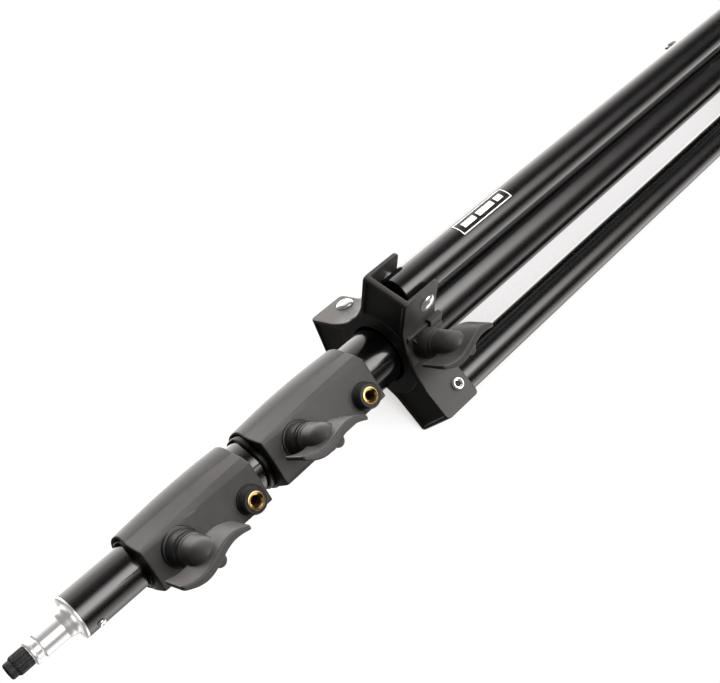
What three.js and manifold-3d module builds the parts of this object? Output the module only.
// Folding three-section light stand: telescoping column, sliding leg hub, three braced legs.
// Millimetres, +Z up along the column towards the spigot, -Y towards leg 1.
// The origin is the centre of the bottom face of the column's end cap.
// The stand is modelled folded and collapsed.
import * as THREE from 'three';
import { mergeVertices } from 'three/addons/utils/BufferGeometryUtils.js';
import Module from 'manifold-3d';

const wasm = await Module();
wasm.setup();

// ---------- driving dimensions ----------
// R_ is a radius and Z_ a height; _IN marks the inside of a tube wall
const TUBE_SEGMENTS = 24;
const GAP = 0.3;                // clearance between neighbouring pieces

const Z_RIM = 1230;             // top rim of the top tube
const R_TOP = 15;
const R_TOP_IN = 13.4;
const R_MID = 18;
const R_MID_IN = 16.4;
const R_COL = 21;
const R_COL_IN = 19.2;

const END_CAP_FLANGE = 3;       // height of the end cap below the column tube
const Z_TOP_BOTTOM = 60;        // lower ends of the nested tubes when collapsed
const Z_MID_BOTTOM = 40;
const Z_MID_END = 1147;         // tube ends held inside the collars
const Z_COL_END = 1049;

const RIVET_DROP = 10;          // top rivet below the rim
const RIVET_AZIMUTH = 183;

const LEG_AZIMUTHS = [-90, 150, 30];
const R_PIVOT = 49.5;           // from the axis to every leg pivot, brace pin and spreader pin
const Z_PIVOT = 941;            // leg pivot
const Z_PIN = 488;              // brace pin on the leg
const Z_SPREAD = 35;            // spreader pin
const R_LEG = 13.5;
const R_LEG_IN = 12;
const Z_LEG_TOP = 952.5;
const Z_LEG_FOOT = -80;
const FOOT_FLOOR = 13.7;        // thickness of the foot under the leg tube
const LEG_SEGMENTS = 20;

// Every clamp (two collars and the leg hub) has: azimuth of its knob side, knob height,
// knob face (distance from the axis), knob tilt, radius of the tube it grips,
// and the gap from that tube to the screw tip.
const COLLAR_1 = {
  azimuth: -138, knobZ: 1162.5, knobFace: 42, knobTilt: 0, gripped: R_TOP, tipGap: 4.8,
  bottom: 1098.5, top: 1184.5,
  held: R_MID, heldEnd: Z_MID_END,                  // tube fixed in the lower part
  insertZ: 1111.2, insertY: -6.4, insertFace: 35,   // accessory thread
  // round back: radius at the top, its swell, fraction of the way down where the swell
  // peaks, and how far it draws in again below that
  backRadius: 20.2, backSwell: 2.8, swellPeak: 0.72, backDraw: 0.5,
  // flat: distance from the axis, then half width on +Y and on -Y as [top, change to bottom]
  flatX: 26.6, plusHalf: [13.5, -1.6], minusHalf: [14.8, 1.5],
};
const COLLAR_2 = {
  azimuth: -133, knobZ: 1062.5, knobFace: 42.4, knobTilt: -8.75, gripped: R_MID, tipGap: 4.8,
  bottom: 993, top: 1086,
  held: R_COL, heldEnd: Z_COL_END,
  insertZ: 1007.2, insertY: -6.8, insertFace: 36.2,
  backRadius: 22.3, backSwell: 2.7, swellPeak: 0.6, backDraw: 0.8,
  flatX: 27.6, plusHalf: [13.9, -1.0], minusHalf: [17.8, -1.5],
};
const HUB = {
  azimuth: -143, knobZ: 947.5, knobFace: 45, knobTilt: -1.5, gripped: R_COL, tipGap: 5,
  bore: R_COL + 1.6, sleeveRadius: 28, sleeveBottom: 929, sleeveTop: 958,
  top: 964, cheekBottom: 931, cheekOut: 64, halfWidth: 18.5, cheek: 2.8,
};

// clamp parts
const R_SHOE = 7.5;
const R_SHOE_WINDOW = 7.9;
const SHOE_SEGMENTS = 14;
const R_NUT = 5.7;
const R_NUT_SEAT = 6;
const R_THREAD = 3.4;           // bore of nuts and inserts
const R_SCREW = 3;

// ---------- solid helpers ----------
const rad = THREE.MathUtils.degToRad;
const toVectors = (points) => points.map(([x, y]) => new THREE.Vector2(x, y));

function toSolid(geometry) {
  const bare = geometry.clone();
  bare.deleteAttribute('normal');
  bare.deleteAttribute('uv');
  const merged = mergeVertices(bare, 1e-4);
  const index = merged.index.array;
  const triangles = [];
  // triangles that collapsed in the merge are left out
  for (let i = 0; i < index.length; i += 3) {
    const [a, b, c] = [index[i], index[i + 1], index[i + 2]];
    if (a !== b && b !== c && a !== c) triangles.push(a, b, c);
  }
  const make = () => new wasm.Manifold(new wasm.Mesh({
    numProp: 3,
    vertProperties: new Float32Array(merged.attributes.position.array),
    triVerts: new Uint32Array(triangles),
  }));
  const solid = make();
  if (solid.volume() >= 0) return solid;
  // the surface was inside out: flip every triangle
  for (let i = 0; i < triangles.length; i += 3) {
    [triangles[i], triangles[i + 1]] = [triangles[i + 1], triangles[i]];
  }
  return make();
}

function toGeometry(solid) {
  const { vertProperties, triVerts } = solid.getMesh();
  const geometry = new THREE.BufferGeometry();
  const positions = new Float32Array(vertProperties);
  geometry.setAttribute('position', new THREE.BufferAttribute(positions, 3));
  geometry.setIndex(new THREE.BufferAttribute(new Uint32Array(triVerts), 1));
  geometry.computeVertexNormals();
  return geometry;
}

// solid of revolution about Z from [radius, height] pairs; closed unless it ends on the axis
function turned(profile, segments = TUBE_SEGMENTS) {
  const points = toVectors(profile);
  const onAxis = profile[0][0] === 0 && profile.at(-1)[0] === 0;
  if (!onAxis) points.push(points[0].clone());
  return toSolid(new THREE.LatheGeometry(points, segments).rotateX(Math.PI / 2));
}
const ring = (r0, r1, z0, z1, segments) =>
  turned([[r0, z0], [r1, z0], [r1, z1], [r0, z1]], segments);
const rod = (r, z0, z1, segments) => ring(0, r, z0, z1, segments);

function box(x0, x1, y0, y1, z0, z1) {
  const geometry = new THREE.BoxGeometry(x1 - x0, y1 - y0, z1 - z0);
  geometry.translate((x0 + x1) / 2, (y0 + y1) / 2, (z0 + z1) / 2);
  return toSolid(geometry);
}

// prism of an (x, z) outline from y0 to y1, with the edges of both faces chamfered
function plateXZ(outline, y0, y1, chamfer = 0) {
  const geometry = new THREE.ExtrudeGeometry(new THREE.Shape(toVectors(outline)), {
    depth: y1 - y0 - 2 * chamfer,
    bevelEnabled: chamfer > 0,
    bevelThickness: chamfer,
    bevelSize: chamfer,
    bevelOffset: -chamfer,
    bevelSegments: 1,
  });
  geometry.rotateX(Math.PI / 2);     // shape (x, y) -> (x, z), depth -> -y
  geometry.translate(0, y1 - chamfer, 0);
  return toSolid(geometry);
}

// skin over sections {z, points}: equal point counts, counter-clockwise, rising z
function loft(sections) {
  const count = sections[0].points.length;
  const last = (sections.length - 1) * count;
  const vertices = sections.flatMap(({ z, points }) => points.flatMap(([x, y]) => [x, y, z]));
  const triangles = [];
  for (let base = 0; base < last; base += count) {
    for (let i = 0; i < count; i++) {
      const a = base + i;
      const b = base + (i + 1) % count;
      triangles.push(a, b, b + count, a, b + count, a + count);
    }
  }
  const capOf = ({ points }) => THREE.ShapeUtils.triangulateShape(toVectors(points), []);
  for (const [a, b, c] of capOf(sections.at(-1))) triangles.push(last + a, last + b, last + c);
  for (const [a, b, c] of capOf(sections[0])) triangles.push(c, b, a);
  const geometry = new THREE.BufferGeometry();
  geometry.setAttribute('position', new THREE.Float32BufferAttribute(vertices, 3));
  geometry.setIndex(triangles);
  return toSolid(geometry);
}

// rigid placements of solids, angles in degrees
const place = (solid, matrix) => solid.transform(matrix.elements);
const shift = (solid, x, y, z) => place(solid, new THREE.Matrix4().makeTranslation(x, y, z));
const spinX = (solid, angle) => place(solid, new THREE.Matrix4().makeRotationX(rad(angle)));
const spinY = (solid, angle) => place(solid, new THREE.Matrix4().makeRotationY(rad(angle)));
const spinZ = (solid, angle) => place(solid, new THREE.Matrix4().makeRotationZ(rad(angle)));
// a solid built along +Z is laid along the local radial +X at height z
const layRadial = (solid, z) => shift(spinY(solid, 90), 0, 0, z);
// a solid built along +Z is laid along the local tangential +Y on a pin axis at height z
const layTangent = (solid, z) => shift(spinX(solid, -90), R_PIVOT, 0, z);
// cutter for a pin hole through a leg, its brace or its clevis
const pinHole = (radius, z, segments) => layTangent(rod(radius, -30, 30, segments), z);

// ---------- finishes ----------
const FINISHES = {
  tube: { color: 0x3b3b3f, roughness: 0.28, metalness: 0.75 },
  plastic: { color: 0x3a3a3d, roughness: 0.55, metalness: 0 },
  bush: { color: 0x0b0b0d, roughness: 0.25, metalness: 0 },
  brass: { color: 0xc79a4b, roughness: 0.28, metalness: 1 },
  chrome: { color: 0xd9d9dc, roughness: 0.15, metalness: 1 },
  steel: { color: 0x9a9a9e, roughness: 0.35, metalness: 1 },
  aluminium: { color: 0xb9b9bd, roughness: 0.32, metalness: 1 },
  cap: { color: 0x0e0e10, roughness: 0.5, metalness: 0 },
  rubber: { color: 0x141416, roughness: 0.85, metalness: 0 },
  brace: { color: 0xa8a8ac, roughness: 0.35, metalness: 1 },
};

const stand = new THREE.Group();
function add(group, name, solid, finish) {
  const material = new THREE.MeshStandardMaterial(FINISHES[finish]);
  const mesh = new THREE.Mesh(toGeometry(solid), material);
  mesh.name = name;
  group.add(mesh);
}
// group of the stand whose local +X points towards the azimuth
function groupAt(azimuth) {
  const group = new THREE.Group();
  group.rotation.z = rad(azimuth);
  stand.add(group);
  return group;
}

// ---------- column, middle and top tubes ----------
// sleeve with a plug in the lower end of a sliding tube and a rim that runs in the outer tube
function guide({ bore, outerTubeIn, tubeIn, tubeBottom, below, above }) {
  const rim = outerTubeIn - 0.4;
  const plug = tubeIn - GAP;
  return turned([
    [bore, tubeBottom - below], [rim, tubeBottom - below], [rim, tubeBottom],
    [plug, tubeBottom], [plug, tubeBottom + above], [bore, tubeBottom + above],
  ]);
}

function addColumnAndMiddle() {
  const columnTube = ring(R_COL_IN, R_COL, END_CAP_FLANGE + GAP, Z_COL_END);
  add(stand, 'column_tube', columnTube, 'tube');
  add(stand, 'column_end_cap', turned([
    [0, 0], [19.5, 0], [R_COL, 1.5], [R_COL, END_CAP_FLANGE],
    [R_COL_IN - GAP, END_CAP_FLANGE], [R_COL_IN - GAP, 24], [15.5, 24], [15.5, 6], [0, 6],
  ]), 'cap');
  add(stand, 'mid_tube', ring(R_MID_IN, R_MID, Z_MID_BOTTOM + GAP, Z_MID_END), 'tube');
  add(stand, 'mid_guide', guide({
    bore: 12, outerTubeIn: R_COL_IN, tubeIn: R_MID_IN,
    tubeBottom: Z_MID_BOTTOM, below: 9, above: 10,
  }), 'bush');
}

// turned piece whose heights are counted from the rim of the top tube
const turnedAtRim = (profile, segments) => shift(turned(profile, segments), 0, 0, Z_RIM);

function addTop() {
  // the rivet that pins the end fitting goes through the wall just under the rim
  const atRivet = (solid) => spinZ(layRadial(solid, Z_RIM - RIVET_DROP), RIVET_AZIMUTH);
  const hole = atRivet(rod(1.8, 6, 20, 8));
  const tube = ring(R_TOP_IN, R_TOP, Z_TOP_BOTTOM + GAP, Z_RIM - 1.8);
  add(stand, 'top_tube', tube.subtract(hole), 'tube');
  const plug = turnedAtRim([
    [0, -38], [R_TOP_IN - GAP, -38], [R_TOP_IN - GAP, -1.5], [R_TOP, -1.5], [R_TOP, -0.4],
    [R_TOP - 0.4, 0], [10.4, 0], [10.4, -1], [6.3, -1], [6.3, -24], [0, -24],
  ]);
  add(stand, 'top_plug', plug.subtract(hole), 'aluminium');
  add(stand, 'top_rivet', atRivet(turned([
    [0, 8], [1.5, 8], [1.5, 15.3], [2.7, 15.3], [2.4, 16.1], [1.3, 16.6], [0, 16.7],
  ], 8)), 'chrome');
  add(stand, 'top_guide', guide({
    bore: 9, outerTubeIn: R_MID_IN, tubeIn: R_TOP_IN,
    tubeBottom: Z_TOP_BOTTOM, below: 8, above: 18,
  }), 'bush');
}

// 16 mm spigot: tenon in the end fitting, retaining groove, stud on top and its cap
function addSpigot() {
  add(stand, 'spigot', turnedAtRim([
    [0, -23], [6, -23], [6, -0.7], [9.6, -0.7], [9.6, 2], [8.6, 6.4], [8, 7.4], [8, 22.2],
    [7.6, 22.8], [6, 23], [6, 26.6], [7.6, 26.8], [8, 27.3], [8, 28.5], [7.5, 29],
    [4.5, 29], [4.5, 38], [3.8, 38.8], [0, 38.8],
  ], 20), 'aluminium');
  add(stand, 'spigot_cap', turnedAtRim([
    [4.9, 29.3], [6.3, 29.3], [6.3, 38.6], [5.6, 39.4], [5.3, 39.6], [5.3, 43.1],
    [4.6, 43.7], [0, 43.7], [0, 39.6], [4.9, 39.6],
  ], 16), 'cap');
}

addColumnAndMiddle();
addTop();
addSpigot();

// ---------- parts shared by every clamp ----------
// local frame: +X is the knob side, +Z up
const shoeWindow = ({ gripped, knobZ }) =>
  layRadial(rod(R_SHOE_WINDOW, gripped - 3, gripped + 6.5, SHOE_SEGMENTS), knobZ);
const nutSeat = ({ gripped, knobFace, knobZ }) =>
  layRadial(rod(R_NUT_SEAT, gripped, knobFace + 1, 12), knobZ);
// pad between screw and tube, hollowed to the tube
const clampShoe = ({ gripped, knobZ }) =>
  layRadial(rod(R_SHOE, gripped - 1, gripped + 4.4, SHOE_SEGMENTS), knobZ)
    .subtract(rod(gripped + GAP, knobZ - 20, knobZ + 20));
const clampNut = ({ gripped, knobFace, knobZ }) =>
  layRadial(ring(R_THREAD, R_NUT, gripped + 7.4, knobFace - 0.6, 12), knobZ);

// ---------- locking collars ----------
// The section is a round back joined to a flat knob side, with a chamfer strip between
// two ridges that widens downwards. Fraction 0 is the top end, 1 the bottom end.
function collarSection(c, fraction) {
  const swell = c.backSwell * Math.sin(Math.PI / 2 * Math.min(1, fraction / c.swellPeak));
  const belowPeak = Math.max(0, (fraction - c.swellPeak) / (1 - c.swellPeak));
  const back = c.backRadius + swell - c.backDraw * belowPeak ** 2;
  const flat = c.flatX + 0.5 * fraction;
  const [plus, minus] = [c.plusHalf, c.minusHalf].map(([top, change]) => top + change * fraction);
  const strip = 2.2 + 5.4 * fraction;      // width of the chamfer strip along the flank
  const start = 62 - 6 * fraction;         // angle where the round back begins
  const bulge = 0.4 + fraction;            // grows the ridge outwards
  // ridge point on the line from the flat's corner to the start of the back, pushed out
  const ridge = (half) => {
    const dx = back * Math.cos(rad(start)) - flat;
    const dy = back * Math.sin(rad(start)) - half;
    const length = Math.hypot(dx, dy);
    const along = Math.min(0.85, strip / length);
    return [flat + dx * along + dy / length * 0.7 * bulge, half + dy * along + 0.6 * bulge];
  };
  const points = [[flat, -minus], [flat, plus], ridge(plus)];
  const backSteps = 14;
  for (let i = 0; i <= backSteps; i++) {
    const angle = rad(start + (360 - 2 * start) * i / backSteps);
    points.push([back * Math.cos(angle), back * Math.sin(angle)]);
  }
  const [x, y] = ridge(minus);
  points.push([x, -y]);
  return points;
}

// outer shape, drawn in over the last 2 mm at each end
function collarShell(c) {
  const edge = 2;
  const section = (z, fraction, scale = 1) => (
    { z, points: collarSection(c, fraction).map(([x, y]) => [x * scale, y * scale]) });
  const z0 = c.bottom + edge;
  const height = c.top - c.bottom - 2 * edge;
  return loft([
    section(c.bottom, 1, 0.965),
    ...[0, 0.25, 0.5, 0.75, 1].map((rise) => section(z0 + height * rise, 1 - rise)),
    section(c.top, 0, 0.955),
  ]);
}

// lays a solid on the axis of the accessory thread, beside the middle of the flat
const atInsert = (c, solid) => shift(layRadial(solid, c.insertZ), 0, c.insertY, 0);

function collarBody(c) {
  const screwBoss = turned([
    [0, 20], [12.6, 20], [12.6, 28.4], [11.6, 29.2], [10.5, 29.6],
    [10.4, c.knobFace - 1.4], [9.6, c.knobFace - 0.3], [0, c.knobFace - 0.3],
  ], 18);
  const insertBoss = turned([
    [0, 22], [9.8, 22], [9.8, 28.2], [9.2, 29], [8.4, 29.6],
    [8.4, c.insertFace - 1.2], [7.9, c.insertFace - 0.5], [0, c.insertFace - 0.5],
  ], 16);
  return collarShell(c)
    .add(layRadial(screwBoss, c.knobZ))
    .add(atInsert(c, insertBoss))
    // tube seat below, bush seat above
    .subtract(rod(c.held + GAP, c.bottom - 1, c.heldEnd + GAP))
    .subtract(rod(c.gripped + 2, c.bottom, c.top + 1))
    .subtract(shoeWindow(c))
    .subtract(nutSeat(c))
    .subtract(atInsert(c, rod(6.5, 26.2, 45, 16)));
}

function addCollar(prefix, c) {
  const group = groupAt(c.azimuth);
  add(group, prefix + '_body', collarBody(c), 'plastic');
  const bush = ring(c.gripped + GAP, c.gripped + 1.7, c.heldEnd + 0.9, c.top - 0.4);
  add(group, prefix + '_bush', bush.subtract(shoeWindow(c)), 'bush');
  add(group, prefix + '_shoe', clampShoe(c), 'brass');
  add(group, prefix + '_nut', clampNut(c), 'brass');
  const face = c.insertFace;
  add(group, prefix + '_insert', atInsert(c, turned([
    [R_THREAD, 26.5], [6.2, 26.5], [6.2, face - 0.4], [5.8, face], [4.1, face],
    [R_THREAD, face - 0.7],
  ], 16)), 'brass');
}
addCollar('collar_1', COLLAR_1);
addCollar('collar_2', COLLAR_2);

// ---------- locking knobs ----------
// Local frame: +X along the screw away from the column, +Z up; x0 is the knob's inner face.
// The blade stands in the XZ plane and curves to opposite sides above and below the hub.
function knobBlade(x0) {
  const halfLength = 26;
  const corner = 0.7;
  const stations = [-26, -24.6, -20, -15, -10, -5, 0, 5, 10, 15, 20, 24.6, 26];
  return loft(stations.map((z) => {
    const q = z / halfLength;
    const middle = -3.6 * Math.sin(Math.PI * q);
    const half = 2.9 - 1.2 * q * q;                   // half thickness
    const tipInset = Math.abs(z) > 25 ? 1.2 : 0;
    const near = x0 + 7.4 + tipInset;
    const far = x0 + 31.6 - 2.4 * q * q - tipInset;
    const [y0, y1] = [middle - half, middle + half];
    const points = [
      [near, y0 + corner], [near + corner, y0], [far - corner, y0], [far, y0 + corner],
      [far, y1 - corner], [far - corner, y1], [near + corner, y1], [near, y1 - corner],
    ];
    return { z, points };
  }));
}

function knobWing(x0) {
  const hub = turned([
    [0, x0], [9.8, x0], [10.3, x0 + 0.6], [10.3, x0 + 2.2], [9.8, x0 + 2.8],
    [9.8, x0 + 14.5], [9.2, x0 + 18.2], [7.7, x0 + 21.4], [5.4, x0 + 23.8],
    [2.8, x0 + 25], [0, x0 + 25.3],
  ], 18);
  const fingerRest = shift(layRadial(rod(4.2, x0 + 12, x0 + 31.4, 10), 0), 0, -2.2, 0);
  return layRadial(hub, 0)
    .add(knobBlade(x0))
    .add(fingerRest)
    .subtract(layRadial(rod(R_SCREW + GAP, x0 - 1, x0 + 16, 12), 0));
}

function addKnob(prefix, clamp) {
  const group = groupAt(clamp.azimuth);
  const x0 = clamp.knobFace + GAP;
  const wing = shift(spinX(knobWing(x0), clamp.knobTilt), 0, 0, clamp.knobZ);
  add(group, prefix + '_wing', wing, 'plastic');
  const tip = clamp.gripped + clamp.tipGap;
  add(group, prefix + '_screw', layRadial(turned([
    [0, tip], [2.2, tip], [R_SCREW, tip + 0.8], [R_SCREW, x0 + 15.4], [0, x0 + 15.4],
  ], 10), clamp.knobZ), 'steel');
}
addKnob('knob_1', COLLAR_1);
addKnob('knob_2', COLLAR_2);
addKnob('hub_knob', HUB);

// ---------- leg hub ----------
// fills the corner between the flanks of two arms 120 degrees apart up to an arc of
// radius r; the bisector is +X
function hollowCorner(halfWidth, r, z0, z1) {
  const corner = halfWidth / Math.cos(rad(30));
  const centre = corner + r / Math.sin(rad(60));
  const arc = [];
  for (let angle = 150; angle <= 210; angle += 6) {
    arc.push([centre + r * Math.cos(rad(angle)), r * Math.sin(rad(angle))]);
  }
  const [x, y] = arc[0];
  const outline = [...arc, [x - 1.3, -y - 0.75], [corner - 1.7, 0], [x - 1.3, y + 0.75]];
  const geometry = new THREE.ExtrudeGeometry(new THREE.Shape(toVectors(outline)), {
    depth: z1 - z0, bevelEnabled: false,
  });
  return toSolid(geometry.translate(0, 0, z0));
}

// top web and two cheeks on a root block at the sleeve, along +X
function hubClevis() {
  const { halfWidth, cheekOut: out, cheekBottom: bottom, top } = HUB;
  const cheekIn = halfWidth - HUB.cheek;
  const outline = [
    [22, top - 2], [22, bottom + 2], [24, bottom], [out - 3, bottom], [out, bottom + 3],
    [out, top - 3], [out - 3, top], [31, top], [29.5, top - 2],
  ];
  return plateXZ(outline, -halfWidth, halfWidth, 1.2)
    .subtract(box(29.8, 80, -cheekIn, cheekIn, bottom - 10, top - 4))
    .subtract(pinHole(3.3, Z_PIVOT, 10));
}

function hubBody() {
  const { bore, halfWidth, sleeveBottom, knobFace, top } = HUB;
  let body = ring(bore, HUB.sleeveRadius, sleeveBottom, HUB.sleeveTop);
  for (const azimuth of LEG_AZIMUTHS) {
    body = body.add(spinZ(hubClevis(), azimuth));
    // concave web that runs from this clevis to the next, tangent to both cheeks
    const web = hollowCorner(halfWidth, 58, HUB.cheekBottom, top - 0.4);
    body = body.add(spinZ(web, azimuth + 60));
  }
  // stepped flange at the root of the cheek of leg 1, beside the screw
  const steps = [
    box(23, 31, -halfWidth - 3.6, -halfWidth + 0.5, sleeveBottom, top - 3),
    box(20, 27, -halfWidth - 6.6, -halfWidth - 3, sleeveBottom, top - 9),
  ];
  for (const step of steps) body = body.add(spinZ(step, LEG_AZIMUTHS[0]));
  // top plate that joins the three clevises round the column
  body = body.add(turned([
    [bore, top - 16], [31.5, top - 16], [31.5, top - 1.5], [30, top], [bore, top],
  ]));
  const screwBoss = turned([
    [0, 24], [12.6, 24], [12.2, 30.5], [10.6, 31.4],
    [10.4, knobFace - 1.4], [9.6, knobFace - 0.3], [0, knobFace - 0.3],
  ], 18);
  return body
    .add(spinZ(layRadial(screwBoss, HUB.knobZ), HUB.azimuth))
    .subtract(rod(bore, sleeveBottom - 5, top + 5))
    .subtract(spinZ(shoeWindow(HUB), HUB.azimuth))
    .subtract(spinZ(nutSeat(HUB), HUB.azimuth));
}

// bolt head on the local -Y cheek, domed nut on the +Y cheek
function addPivot(azimuth, number) {
  const half = HUB.halfWidth;
  const bolt = turned([
    [0, -half - 2.8], [3.4, -half - 2.8], [5.6, -half - 2.2], [6.5, -half - 0.9],
    [6.5, -half - GAP], [3, -half - GAP], [3, half + 0.2], [0, half + 0.2],
  ], 12);
  const nut = turned([
    [0, half + 0.5], [4.3, half + 0.5], [4.3, half + 2.3], [3.8, half + 2.8],
    [2.3, half + 2.8], [2.3, half + 1.4], [0, half + 1.4],
  ], 10);
  add(stand, `pivot_bolt_${number}`, spinZ(layTangent(bolt, Z_PIVOT), azimuth), 'chrome');
  add(stand, `pivot_nut_${number}`, spinZ(layTangent(nut, Z_PIVOT), azimuth), 'chrome');
}

function addHub() {
  add(stand, 'hub_body', hubBody(), 'plastic');
  const bush = ring(R_COL + GAP, R_COL + 1.3, HUB.sleeveBottom + 1, HUB.sleeveTop - 0.5)
    .subtract(spinZ(shoeWindow(HUB), HUB.azimuth));
  add(stand, 'hub_bush', bush, 'bush');
  add(stand, 'hub_shoe', spinZ(clampShoe(HUB), HUB.azimuth), 'brass');
  add(stand, 'hub_nut', spinZ(clampNut(HUB), HUB.azimuth), 'brass');
  LEG_AZIMUTHS.forEach((azimuth, i) => addPivot(azimuth, i + 1));
}
addHub();

// ---------- spreader at the foot of the column ----------
const EAR_IN = 16.6;            // ears straddle the brace and the folded leg
const EAR_OUT = 19.6;
const EAR_OUTLINE = [           // [x, z]
  [19, 24], [44, 24], [52, 27], [57.5, 31], [58, 37],
  [55, 42.5], [49, 45], [40, 44], [28, 48], [19, 48],
];

function spreaderHub() {
  let body = ring(R_COL + GAP, 27, 20, 50);
  for (const azimuth of LEG_AZIMUTHS) {
    for (const [y0, y1] of [[-EAR_OUT, -EAR_IN], [EAR_IN, EAR_OUT]]) {
      const ear = plateXZ(EAR_OUTLINE, y0, y1).subtract(pinHole(2.7, Z_SPREAD, 8));
      body = body.add(spinZ(ear, azimuth));
    }
  }
  return body;
}

function addSpreaderRivets(azimuth, number) {
  const rivet = turned([
    [0, 14.4], [2.4, 14.4], [2.4, EAR_OUT + GAP], [4.6, EAR_OUT + GAP],
    [4.2, EAR_OUT + 1.6], [2.6, EAR_OUT + 2.4], [0, EAR_OUT + 2.6],
  ], 8);
  // a is on the local -Y ear, b on the +Y ear
  for (const [tag, solid] of [['a', spinX(rivet, 180)], ['b', rivet]]) {
    const placed = spinZ(layTangent(solid, Z_SPREAD), azimuth);
    add(stand, `spreader_rivet_${number}${tag}`, placed, 'steel');
  }
}
add(stand, 'spreader_hub', spreaderHub(), 'plastic');
LEG_AZIMUTHS.forEach((azimuth, i) => addSpreaderRivets(azimuth, i + 1));

// ---------- legs and braces ----------
// local frame: +X from the column to the leg, +Z up
const legPivotHole = () => pinHole(3.3, Z_PIVOT, 10);

const legTube = () =>
  shift(ring(R_LEG_IN, R_LEG, Z_LEG_FOOT + FOOT_FLOOR + GAP, Z_LEG_TOP, LEG_SEGMENTS), R_PIVOT, 0, 0)
    .subtract(legPivotHole())
    .subtract(pinHole(2.9, Z_PIN, 8));

// heights from the top of the leg
const legPlug = () => shift(turned([
  [0, -30], [10, -30], [R_LEG_IN - GAP, -28], [R_LEG_IN - GAP, -2], [8, -1], [0, -1],
], LEG_SEGMENTS), R_PIVOT, 0, Z_LEG_TOP).subtract(legPivotHole());

// heights from the sole
const legFoot = () => shift(turned([
  [0, 0], [9.5, 0], [13.4, 2.2], [15, 6], [15, FOOT_FLOOR], [15.6, 15], [15.6, 38],
  [14.9, 39.5], [R_LEG + GAP, 39.5], [R_LEG + GAP, FOOT_FLOOR], [0, FOOT_FLOOR],
], LEG_SEGMENTS), R_PIVOT, 0, Z_LEG_FOOT);

const bracePin = () => layTangent(turned([
  [0, -19.2], [2.6, -19], [4.4, -18], [4.4, -16.7], [2.6, -16.7],
  [2.6, 16.7], [4.4, 16.7], [4.4, 18], [2.6, 19], [0, 19.2],
], 8), Z_PIN);

// pressed channel: two walls beside the leg and a web between it and the column
function brace() {
  const wallIn = 14.2;
  const wallOut = 16.2;
  const webX = R_PIVOT - R_LEG - 0.6;      // web face towards the leg
  const webBottom = Z_SPREAD + 17;
  const outline = [
    [webX - 2, webBottom], [R_PIVOT - 6.5, Z_SPREAD - 4], [R_PIVOT - 3, Z_SPREAD - 7.5],
    [R_PIVOT + 3, Z_SPREAD - 7.5], [R_PIVOT + 7, Z_SPREAD - 3], [R_PIVOT + 7, Z_PIN + 3],
    [R_PIVOT + 3, Z_PIN + 7.5], [R_PIVOT - 3, Z_PIN + 7.5], [R_PIVOT - 7, Z_PIN + 3],
    [R_PIVOT - 7, Z_PIN - 14], [webX - 2, Z_PIN - 30],
  ];
  return plateXZ(outline, -wallOut, wallOut, 0.6)
    .subtract(box(webX, R_PIVOT + 20, -wallIn, wallIn, 0, 600))
    // open both ends of the channel beyond the web
    .subtract(box(webX - 10, R_PIVOT - 8, -wallIn, wallIn, 0, webBottom))
    .subtract(box(webX - 10, R_PIVOT - 8, -wallIn, wallIn, Z_PIN - 29, 600))
    .subtract(pinHole(2.8, Z_SPREAD, 8))
    .subtract(pinHole(3, Z_PIN, 8));
}

LEG_AZIMUTHS.forEach((azimuth, i) => {
  const number = i + 1;
  const group = groupAt(azimuth);
  add(group, `leg_${number}_tube`, legTube(), 'tube');
  add(group, `leg_${number}_plug`, legPlug(), 'bush');
  add(group, `leg_${number}_foot`, legFoot(), 'rubber');
  add(group, `leg_${number}_pin`, bracePin(), 'steel');
  add(group, `brace_${number}`, brace(), 'brace');
});

export default stand;
